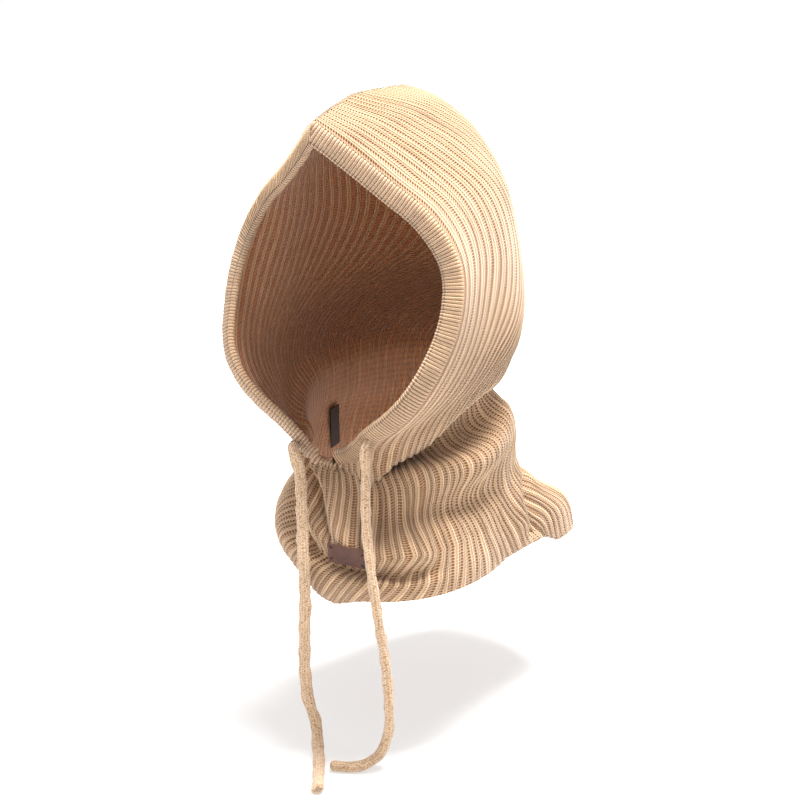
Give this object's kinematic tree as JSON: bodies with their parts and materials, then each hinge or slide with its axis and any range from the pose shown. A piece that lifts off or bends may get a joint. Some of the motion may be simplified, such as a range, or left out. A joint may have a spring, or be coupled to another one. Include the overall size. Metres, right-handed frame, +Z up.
{
  "type": "knitted hood snood",
  "caption": "Ribbed-knit hood joined to a neck cowl, with a drawstring in the face band, a small bare leather patch on the front and an open face",
  "frame": {"origin": "inside of the crown, where the top of a head meets the hood when it is worn", "axes": "+Z up, -Y the way the face looks out of the opening, +X to the wearer's left"},
  "size_m": [0.2061, 0.3532, 0.4928],
  "materials": {
    "knit": "matte ribbed knit",
    "cord_knit": "matte fine knit tube",
    "leather": "satin",
    "label": "satin woven",
    "thread": "matte"
  },
  "bodies": {
    "root": {"knit_body": "knit", "face_band": "knit", "drawstring_run": "cord_knit", "drawstring_left": "cord_knit", "drawstring_right": "cord_knit", "leather_patch": "leather", "patch_stitch_1": "thread", "patch_stitch_2": "thread", "patch_stitch_3": "thread", "patch_stitch_4": "thread", "inner_label": "label"}
  },
  "joints": []
}
